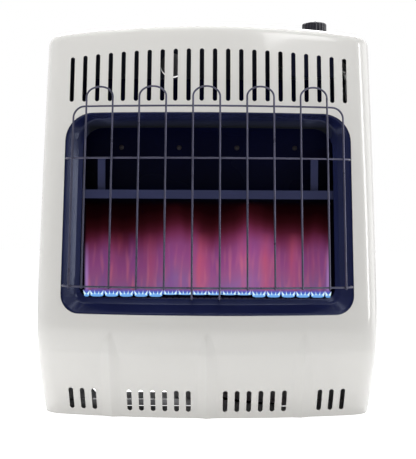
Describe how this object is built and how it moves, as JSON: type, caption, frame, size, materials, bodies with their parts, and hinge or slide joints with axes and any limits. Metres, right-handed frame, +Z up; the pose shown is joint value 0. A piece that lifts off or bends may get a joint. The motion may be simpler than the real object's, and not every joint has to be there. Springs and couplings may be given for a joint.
{
  "type": "vent-free propane heater",
  "caption": "Upright vent-free gas heater with a bowed white casing, a wide trimmed window over a flame burner, a wire guard, upper louvres, lower vent slots and a top control knob.",
  "frame": {"origin": "middle of the base rectangle that the heater stands on, half way between its nose and its back", "axes": "+Z up; the heater faces -Y; +X is the viewer's right, the knob's side"},
  "size_m": [0.5406, 0.253, 0.6418],
  "materials": {
    "white_enamel": "glossy powder coat",
    "navy_enamel": "glossy dark blue enamel",
    "burner_enamel": "matt heat-resistant coat",
    "dark_wire": "dark plated wire",
    "galvanised_steel": "galvanised sheet",
    "bright_steel": "zinc plated",
    "cast_aluminium": "die cast",
    "aluminium_tube": "drawn tube",
    "copper": "drawn copper",
    "brass": "machined",
    "black_plastic": "moulded",
    "cable_cover": "silicone cover",
    "ceramic": "glazed ceramic"
  },
  "bodies": {
    "heater_body": {"baffle": "navy_enamel", "bulb_clip": "galvanised_steel", "burner_bracket_left": "galvanised_steel", "burner_bracket_right": "galvanised_steel", "burner_pipe": "aluminium_tube", "burner_shelf": "navy_enamel", "burner_tube": "burner_enamel", "capillary_tube": "copper", "casing_screw_1": "bright_steel", "casing_screw_2": "bright_steel", "casing_screw_3": "bright_steel", "casing_screw_4": "bright_steel", "firebox_back": "navy_enamel", "firebox_screw_1": "bright_steel", "firebox_screw_2": "bright_steel", "firebox_screw_3": "bright_steel", "firebox_screw_4": "bright_steel", "firebox_side_left": "navy_enamel", "firebox_side_right": "navy_enamel", "floor_pan": "galvanised_steel", "front_casing": "white_enamel", "gas_injector": "brass", "gas_valve_body": "cast_aluminium", "guard_bar_bottom": "dark_wire", "guard_bar_middle": "dark_wire", "guard_hoop": "dark_wire", "guard_loop_1": "dark_wire", "guard_loop_2": "dark_wire", "guard_loop_3": "dark_wire", "guard_loop_4": "dark_wire", "guard_loop_5": "dark_wire", "igniter_body": "black_plastic", "igniter_nut": "bright_steel", "ignition_cable": "cable_cover", "injector_holder": "brass", "inlet_fitting": "brass", "inlet_pipe": "aluminium_tube", "mixer_tube": "burner_enamel", "pilot_bracket": "galvanised_steel", "pilot_burner": "brass", "pilot_tube": "aluminium_tube", "rear_panel": "galvanised_steel", "regulator_body": "cast_aluminium", "regulator_cap": "black_plastic", "spark_electrode": "ceramic", "thermocouple": "copper", "thermocouple_lead": "copper", "thermostat_bulb": "copper", "valve_bracket": "navy_enamel", "window_trim": "navy_enamel"},
    "valve_plug": {"valve_plug": "bright_steel"},
    "knob": {"valve_spindle": "bright_steel", "control_knob": "black_plastic"},
    "igniter_button": {"igniter_button": "black_plastic"}
  },
  "joints": [
    {"name": "knob_turn", "type": "hinge", "parent": "heater_body", "child": "valve_plug", "pos_m": [0.176, 0.0545, 0.6], "axis": [0, 0, 1], "range_deg": [0, 240]},
    {"name": "knob_push", "type": "slide", "parent": "valve_plug", "child": "knob", "axis": [0, 0, -1], "range_m": [0, 0.004], "stiffness_N_per_m": 800},
    {"name": "igniter_push", "type": "slide", "parent": "heater_body", "child": "igniter_button", "axis": [0, 0, -1], "range_m": [0, 0.006], "stiffness_N_per_m": 1000}
  ]
}
